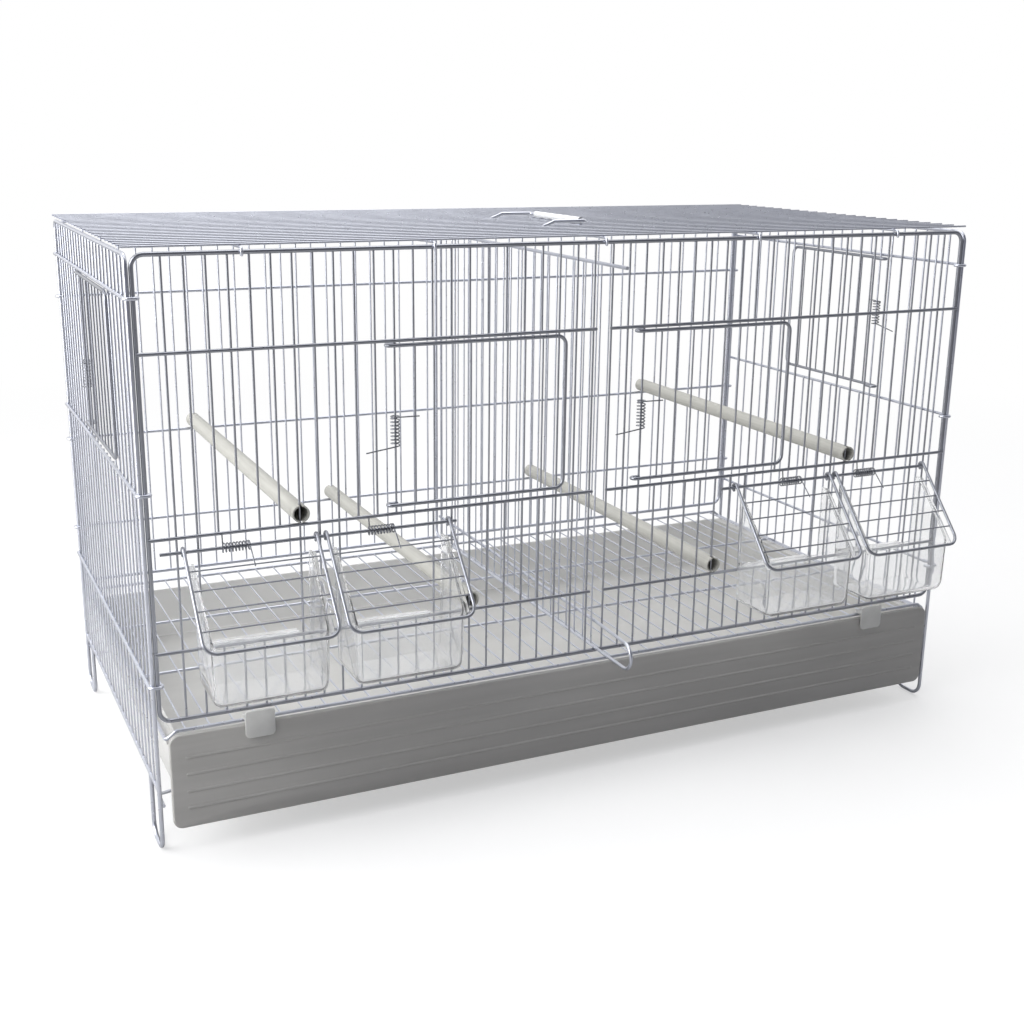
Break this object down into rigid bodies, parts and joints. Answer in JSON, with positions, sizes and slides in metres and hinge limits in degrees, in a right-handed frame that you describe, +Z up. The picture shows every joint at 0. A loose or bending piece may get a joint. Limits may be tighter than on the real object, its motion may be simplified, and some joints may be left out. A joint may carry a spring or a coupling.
{
  "type": "breeding cage",
  "caption": "Long low wire cage for breeding small birds: sprung doors, feeder hatches with clear cups, a sliding divider, a floor grille and a slide-out tray.",
  "frame": {"origin": "middle of the overall box, on the floor under the feet", "axes": "+X along the front to the right as seen from the front, +Y to the back, +Z up"},
  "size_m": [0.6144, 0.3522, 0.3799],
  "materials": {
    "zinc_wire": "bright pale zinc",
    "spring_wire": "bright drawn wire",
    "clear_plastic": "clear moulded",
    "perch_plastic": "cream, extruded",
    "grey_plastic": "satin warm grey, moulded",
    "white_plastic": "satin white sleeve"
  },
  "bodies": {
    "cage": {"front_panel": "zinc_wire", "back_panel": "zinc_wire", "left_side_panel": "zinc_wire", "right_side_panel": "zinc_wire", "top_panel": "zinc_wire", "left_hatch_rod": "zinc_wire", "right_hatch_rod": "zinc_wire", "left_outer_feeder_cup": "clear_plastic", "left_inner_feeder_cup": "clear_plastic", "right_inner_feeder_cup": "clear_plastic", "right_outer_feeder_cup": "clear_plastic", "left_upper_perch": "perch_plastic", "left_lower_perch": "perch_plastic", "right_upper_perch": "perch_plastic", "right_lower_perch": "perch_plastic", "left_front_door_spring": "spring_wire", "right_front_door_spring": "spring_wire", "left_side_door_spring": "spring_wire", "right_side_door_spring": "spring_wire", "left_outer_hatch_spring": "spring_wire", "left_inner_hatch_spring": "spring_wire", "right_inner_hatch_spring": "spring_wire", "right_outer_hatch_spring": "spring_wire"},
    "left_front_door_body": {"left_front_door": "zinc_wire"},
    "right_front_door_body": {"right_front_door": "zinc_wire"},
    "left_side_door_body": {"left_side_door": "zinc_wire"},
    "right_side_door_body": {"right_side_door": "zinc_wire"},
    "left_outer_hatch_body": {"left_outer_feeder_hatch": "zinc_wire"},
    "left_inner_hatch_body": {"left_inner_feeder_hatch": "zinc_wire"},
    "right_inner_hatch_body": {"right_inner_feeder_hatch": "zinc_wire"},
    "right_outer_hatch_body": {"right_outer_feeder_hatch": "zinc_wire"},
    "divider_body": {"divider_grid": "zinc_wire"},
    "tray_body": {"tray": "grey_plastic"},
    "grille_body": {"floor_grille": "zinc_wire", "left_tray_clip": "clear_plastic", "right_tray_clip": "clear_plastic"},
    "handle_body": {"carry_handle": "zinc_wire", "handle_grip": "white_plastic"}
  },
  "joints": [
    {"name": "left_front_door_hinge", "type": "hinge", "parent": "cage", "child": "left_front_door_body", "pos_m": [-0.1452, -0.12226, 0], "axis": [0, 0, -1], "range_deg": [0, 120], "stiffness_Nm_per_rad": 0.01, "springref_deg": -34.38, "deforming": ["left_front_door_spring"]},
    {"name": "right_front_door_hinge", "type": "hinge", "parent": "cage", "child": "right_front_door_body", "pos_m": [0.0318, -0.12226, 0], "axis": [0, 0, -1], "range_deg": [0, 120], "stiffness_Nm_per_rad": 0.01, "springref_deg": -34.38, "deforming": ["right_front_door_spring"]},
    {"name": "left_side_door_hinge", "type": "hinge", "parent": "cage", "child": "left_side_door_body", "pos_m": [-0.3031, 0.05654, 0], "axis": [0, 0, -1], "range_deg": [0, 120], "stiffness_Nm_per_rad": 0.01, "springref_deg": -34.38, "deforming": ["left_side_door_spring"]},
    {"name": "right_side_door_hinge", "type": "hinge", "parent": "cage", "child": "right_side_door_body", "pos_m": [0.3031, -0.03166, 0], "axis": [0, 0, -1], "range_deg": [0, 120], "stiffness_Nm_per_rad": 0.01, "springref_deg": -34.38, "deforming": ["right_side_door_spring"]},
    {"name": "left_outer_hatch_hinge", "type": "hinge", "parent": "cage", "child": "left_outer_hatch_body", "pos_m": [-0.2397, -0.1247, 0.1955], "axis": [1, 0, 0], "range_deg": [-105, 0], "stiffness_Nm_per_rad": 0.003, "springref_deg": 34.38, "deforming": ["left_outer_hatch_spring"]},
    {"name": "left_inner_hatch_hinge", "type": "hinge", "parent": "cage", "child": "left_inner_hatch_body", "pos_m": [-0.1515, -0.1247, 0.1955], "axis": [1, 0, 0], "range_deg": [-105, 0], "stiffness_Nm_per_rad": 0.003, "springref_deg": 34.38, "deforming": ["left_inner_hatch_spring"]},
    {"name": "right_inner_hatch_hinge", "type": "hinge", "parent": "cage", "child": "right_inner_hatch_body", "pos_m": [0.1515, -0.1247, 0.1955], "axis": [1, 0, 0], "range_deg": [-105, 0], "stiffness_Nm_per_rad": 0.003, "springref_deg": 34.38, "deforming": ["right_inner_hatch_spring"]},
    {"name": "right_outer_hatch_hinge", "type": "hinge", "parent": "cage", "child": "right_outer_hatch_body", "pos_m": [0.2397, -0.1247, 0.1955], "axis": [1, 0, 0], "range_deg": [-105, 0], "stiffness_Nm_per_rad": 0.003, "springref_deg": 34.38, "deforming": ["right_outer_hatch_spring"]},
    {"name": "divider_slide", "type": "slide", "parent": "cage", "child": "divider_body", "axis": [0, 1, 0], "range_m": [-0.29, 0]},
    {"name": "tray_slide", "type": "slide", "parent": "cage", "child": "tray_body", "axis": [0, -1, 0], "range_m": [0, 0.28]},
    {"name": "floor_grille_slide", "type": "slide", "parent": "tray_body", "child": "grille_body", "axis": [0, -1, 0], "range_m": [0, 0.28]},
    {"name": "carry_handle_hinge", "type": "hinge", "parent": "cage", "child": "handle_body", "pos_m": [0, 0.00615, 0.3723], "axis": [0, -1, 0], "range_deg": [0, 160]}
  ]
}
